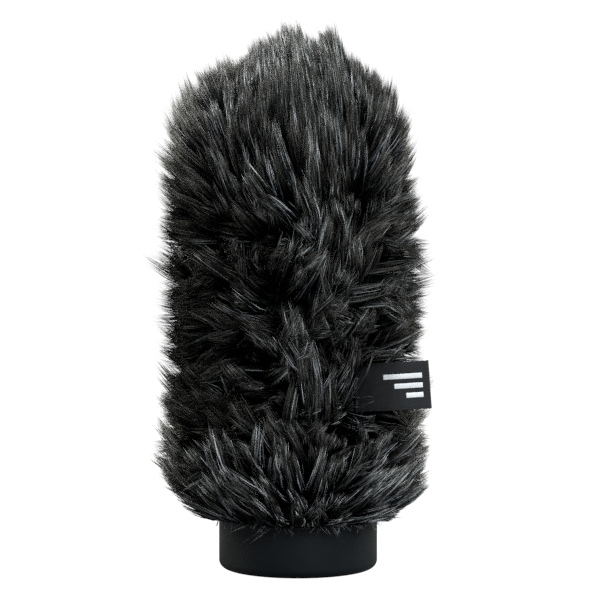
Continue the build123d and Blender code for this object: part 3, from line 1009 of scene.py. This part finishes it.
class Curves:
    """Quadratic curves that leave the root along the normal and end along the lay."""

    def __init__(self, roots, stray_turn, stray_rise, grow):
        self.root = roots.points()
        direction = lay_direction(roots, stray_turn, stray_rise)
        length = reach(self.root, direction) * grow * curve(GROW, roots.height)
        self.end = self.root + direction * length[:, None]
        start = unit(0.62 * polar(roots.azimuth, roots.normal) + 0.38 * direction)
        self.middle = self.root + start * (0.42 * length)[:, None]

    def at(self, t, index=slice(None)):
        """Points at parameters t, shaped (strands, steps), of the chosen curves."""
        t = t[..., None]
        root, middle, end = self.root[index], self.middle[index], self.end[index]
        return root[:, None] * (1 - t) ** 2 + middle[:, None] * 2 * t * (1 - t) + end[:, None] * t**2


def hides_label(paths, rng):
    """Which strands run through the clear space before the label or through the label itself."""
    starts, ends = paths[:, :-1, None], paths[:, 1:, None]
    fine = starts + (ends - starts) * np.linspace(0.0, 1.0, 5)[:, None]
    along, upward, front = label_coordinates(fine.reshape(len(paths), -1, 3))
    edge = rng.uniform(*LABEL_SHOWS_FROM, len(paths))[:, None]
    edge = np.where(rng.random(len(paths))[:, None] < LABEL_CROSSED, LABEL_CROSSED_TO, edge)
    level = np.abs(upward) < TAG_HEIGHT / 2 + 0.6
    before = (along > edge) & level & (front > -2.6) & (front < 30.0)
    through = (along > -1.0) & (along <= edge) & level & (np.abs(front - 1.2) < 1.6)
    return (before | through).any(axis=1)


def part_round_label(curves):
    """Bends strands that head for the label up or down past it."""
    along, upward, front = label_coordinates(curves.end)
    near = smoothstep(-9.0, 0.0, along) * smoothstep(-16.0, -7.0, front)
    away = np.where(upward > 0, 1.0, -1.0) * near * smoothstep(16.0, 9.0, np.abs(upward))
    curves.end[:, 2] += away * 5.5
    curves.middle[:, 2] += away * 2.4


def wisps(rng):
    """Paths and numbers of loose strands over the collar's edge, in small bunches."""
    loose = (
        rng.uniform(-180.0, 180.0, LOOSE_WISPS),
        rng.choice((-1.0, 1.0), LOOSE_WISPS) * rng.uniform(20.0, 80.0, LOOSE_WISPS),
        rng.uniform(-50.0, -5.0, LOOSE_WISPS),
        rng.uniform(2.0, 6.0, LOOSE_WISPS),
    )
    bunches = np.concatenate((WISPS, vectors(*loose)))
    azimuth, turn, elevation, length = np.repeat(bunches, STRANDS_PER_WISP, axis=0).T
    count = len(azimuth)
    spots = np.radians(azimuth + rng.normal(0.0, 1.2, count))
    headings = spots + np.radians(turn + rng.normal(0.0, 3.0, count))
    dips = np.radians(elevation + rng.normal(0.0, 3.0, count))
    lengths = length * rng.uniform(0.7, 1.05, count)
    outward = polar(spots)
    root = HEM_RADIUS * outward
    root[:, 2] = rng.uniform(18.9, 20.0, count)
    t = RING_STEPS[:, None]
    run = (polar(headings, dips) * lengths[:, None])[:, None] * t
    lift = 1.1 * outward[:, None] * t * (1.6 - t)
    sag = np.array((0.0, 0.0, -0.9)) * t**2
    return root[:, None] + run + lift + sag, rng.uniform(0.7, 0.98, count)


def grown_strands(rng):
    """Paths of the strands, their numbers, radii and the azimuths of their gores' middles."""
    roots = spread_roots(rng, LOCKS)
    seeds = spread_out(roots.points(), CLUMPS, rng)
    clump_roots = Roots(roots.azimuth[seeds], roots.way[seeds])
    places = clump_roots.points()
    clump_of = nearest(roots.points(), places)

    # Tufts
    stray_turn = 0.75 * waves(21, 26.0, places) + 0.75 * rng.normal(size=CLUMPS)
    stray_rise = 0.75 * waves(22, 26.0, places) + 0.75 * rng.normal(size=CLUMPS)
    leftward = np.maximum(-np.cos(clump_roots.azimuth), 0.0) * smoothstep(150.0, 110.0, clump_roots.height)
    clump_grow = 1.03 + 0.18 * leftward + 0.07 * rng.normal(size=CLUMPS)
    clumps = Curves(clump_roots, stray_turn, stray_rise, clump_grow)

    # Locks inside the tufts
    lock_turn = stray_turn[clump_of] + 0.55 * rng.normal(size=LOCKS)
    lock_rise = stray_rise[clump_of] + 0.55 * rng.normal(size=LOCKS)
    far = np.linalg.norm(roots.points() - places[clump_of], axis=1)
    lock_grow = clump_grow[clump_of] * (1.0 - 0.028 * far) + 0.05 * rng.normal(size=LOCKS)
    locks = Curves(roots, lock_turn, lock_rise, lock_grow)
    lock_gather = rng.uniform(0.25, 0.80, LOCKS)

    # Strands inside the locks
    owner = np.repeat(np.arange(LOCKS), STRANDS_PER_LOCK)
    clump = clump_of[owner]
    count = len(owner)
    own_roots = scattered_roots(rng, roots, owner, LOCK_SPREAD)
    own_turn = lock_turn[owner] + 0.35 * rng.normal(size=count)
    own_rise = lock_rise[owner] + 0.35 * rng.normal(size=count)
    strands = Curves(own_roots, own_turn, own_rise, lock_grow[owner])
    for curves in (clumps, locks, strands):
        part_round_label(curves)
    length_share = np.clip(1.0 - np.abs(rng.normal(0.0, 0.16, count)), 0.35, 1.0)
    flyaway = rng.random(count) < FLYAWAYS
    t = RING_STEPS[None] * np.where(flyaway, 1.06, length_share)[:, None]
    to_clump = (curve(GATHER, own_roots.height)[:, None] * t**1.35)[..., None]
    to_lock = (np.where(flyaway, 0.1, lock_gather[owner])[:, None] * t**0.85)[..., None]
    paths = strands.at(t) * (1 - to_lock) + locks.at(t, owner) * to_lock
    paths = paths * (1 - to_clump) + clumps.at(t, clump) * to_clump

    # Gentle waviness, shared by a lock and slightly different for each strand
    phase = rng.uniform(0, TURN, (LOCKS, 3))[owner] + rng.normal(0, 0.5, (count, 3))
    amount = rng.uniform(0.15, 0.75, LOCKS)[owner]
    wave = np.sin(phase[:, None] + 5.2 * t[..., None]) - np.sin(phase)[:, None]
    paths += wave * (amount[:, None] * t)[..., None]

    # The crown leans to one side, and its tufts stand unevenly
    paths[..., 0] += CROWN_LEAN * smoothstep(*LEAN_RISES, paths[..., 2]) * t
    paths[..., 2] += curve(CROWN, paths[..., 0]) * smoothstep(*CROWN_RISES, paths[..., 2]) * t

    # Numbers set the colour: painted light makes them paler at the crown and the hem, and painted shade
    # darker on the left; pale strands are wider
    keep = ~hides_label(paths, rng)
    numbers = 0.35 * rng.random(LOCKS)[owner] + 0.65 * rng.random(count)
    # Random tone by clump, and painted light on the crown's tips
    numbers += 0.045 * waves(23, 34.0, places)[clump] + 0.06 * smoothstep(178.0, 190.0, paths[:, -1, 2])
    # Painted light: paler strands near the hem
    numbers += 0.09 * smoothstep(48.0, 24.0, own_roots.height)
    radii = rng.uniform(*STRAND_RADIUS, count) * (1.0 + 0.8 * smoothstep(0.64, 0.84, numbers))
    radii = np.where(flyaway, STRAND_RADIUS[0], radii)
    # Painted shade on the left side of the pile
    painted_left_shade = 0.19 * leftward[clump] * smoothstep(30.0, 55.0, own_roots.height)
    numbers = np.clip(numbers - painted_left_shade, 0.0, 1.0)
    return paths[keep], numbers[keep], radii[keep], gore_azimuth(own_roots.azimuth)[keep]


def pile():
    """Fur of each gore as bands of strands, which rise from the hem."""
    rng = np.random.default_rng(FUR_SEED)
    paths, numbers, radii, middles = grown_strands(rng)
    loose, loose_numbers = wisps(rng)
    paths = np.concatenate((paths, loose))
    numbers = np.append(numbers, loose_numbers)
    radii = np.append(radii, np.full(len(loose), STRAND_RADIUS[0]))[:, None] * RING_SHARES
    middles = np.append(middles, gore_azimuth(np.arctan2(loose[:, 0, 1], loose[:, 0, 0])))
    material = fur_material()
    for name, centre in GORES:
        in_gore = np.flatnonzero(np.cos(middles - math.radians(centre)) > 0.9)
        in_gore = in_gore[np.argsort(paths[in_gore, 0, 2], kind="stable")]
        for band, members in enumerate(np.array_split(in_gore, BANDS_PER_GORE)):
            own = paths[members]
            piece = f"pile_{name}_{band + 1}"
            looks = (numbers[members], RING_STEPS)
            mesh = tube_mesh(piece, own, radii[members], STRAND_SIDES, perpendicular(own), *looks)
            finish_mesh(mesh, material, "cover", "fur_pile", f"fur_{name}")


# Build

sewing_thread = thread_material("sewing_thread", (0.011, 0.011, 0.012))
pile()
woven_label()
label_bead()
stitched_bars()
label_loops(sewing_thread)
backing()
seam_tapes()
seam_threads(sewing_thread)
hem(sewing_thread)
foams()

LOOKS = {
    "rubber_collar": rubber_material("collar_rubber", (0.0060, 0.0078, 0.0094), 0.52),
    "grip_bush": rubber_material("bush_rubber", (0.008, 0.008, 0.009), 0.5),
    "base_ring": plastic_material("ring_plastic", (0.015, 0.015, 0.017), 0.45),
    "open_liner": plastic_material("liner_plastic", (0.022, 0.023, 0.026), 0.42),
    "liner_cap": plastic_material("cap_plastic", (0.020, 0.021, 0.023), 0.42),
    "spacer_rings": plastic_material("spacer_plastic", (0.018, 0.019, 0.021), 0.42),
}
for node, material in LOOKS.items():
    piece = frame["nodes"][node]
    piece.data.materials.clear()
    piece.data.materials.append(material)


# Floor, light and camera

CAMERA_PLACE = (0.0007, -0.800, 0.131)
CAMERA_TARGET = (0.0007, 0.0, 0.098)
CAMERA_FIELD = 15.6
FLOOR_HALF = 6.0
WHITE = (1.0, 1.0, 1.0, 1.0)
WARM = (1.0, 0.98, 0.91)
# Name, place, target and size in metres, power in watts and colour
LIGHTS = (
    ("key", (0.40, -0.85, 0.55), (0, 0, 0.09), 0.35, 10.5, (0.90, 0.96, 1.0)),
    ("top", (0.0, -0.25, 0.95), (0, 0, 0.10), 0.35, 9.0, (0.95, 0.985, 1.0)),
    ("rim_left", (-0.78, 0.36, 0.58), (0, 0, 0.10), 0.5, 14.5, WARM),
    ("rim_right", (0.78, 0.32, 0.58), (0, 0, 0.10), 0.5, 13.0, WARM),
)


def placed(name, data, place, target):
    """A camera or light at a place, turned towards its target."""
    item = add_object(name, data)
    item.location = place
    item.rotation_euler = (Vector(target) - Vector(place)).to_track_quat("-Z", "Y").to_euler()
    return item


def floor():
    """Pale floor that looks as white as the backdrop and throws little light back up."""
    mesh = bpy.data.meshes.new("floor")
    corners = [(x * FLOOR_HALF, y * FLOOR_HALF, 0) for x, y in ((-1, -1), (1, -1), (1, 1), (-1, 1))]
    mesh.from_pydata(corners, [], [(0, 1, 2, 3)])
    material, tree, shader = new_material("floor_white")
    seen = add(tree, "ShaderNodeLightPath").outputs["Is Camera Ray"]
    shade = ramp(tree, seen, ((0.0, 0.22), (1.0, 0.10)))
    set_shader(shader, Base_Color=shade, Roughness=0.9, Specular_IOR_Level=0.0)
    set_shader(shader, Emission_Color=WHITE, Emission_Strength=seen)
    mesh.materials.append(material)
    add_object("floor", mesh)


def backdrop_world():
    """White to the camera, dimmer as a light."""
    world = bpy.data.worlds.new("studio")
    scene.world = world
    world.use_nodes = True
    tree = world.node_tree
    seen = add(tree, "ShaderNodeLightPath").outputs["Is Camera Ray"]
    inputs = {"Color": WHITE, "Strength": scaled(tree, seen, 0.95, 0.10)}
    set_inputs(tree.nodes["Background"], inputs)


floor()
backdrop_world()
lens = bpy.data.cameras.new("camera")
lens.angle = math.radians(CAMERA_FIELD)
lens.clip_start = 0.01
scene.camera = placed("camera", lens, CAMERA_PLACE, CAMERA_TARGET)
for name, place, target, *settings in LIGHTS:
    lamp = bpy.data.lights.new(name, "AREA")
    lamp.shape = "DISK"
    lamp.size, lamp.energy, lamp.color = settings
    placed(name, lamp, place, target)
scene.view_settings.view_transform = "Standard"
scene.cycles.use_denoising = False
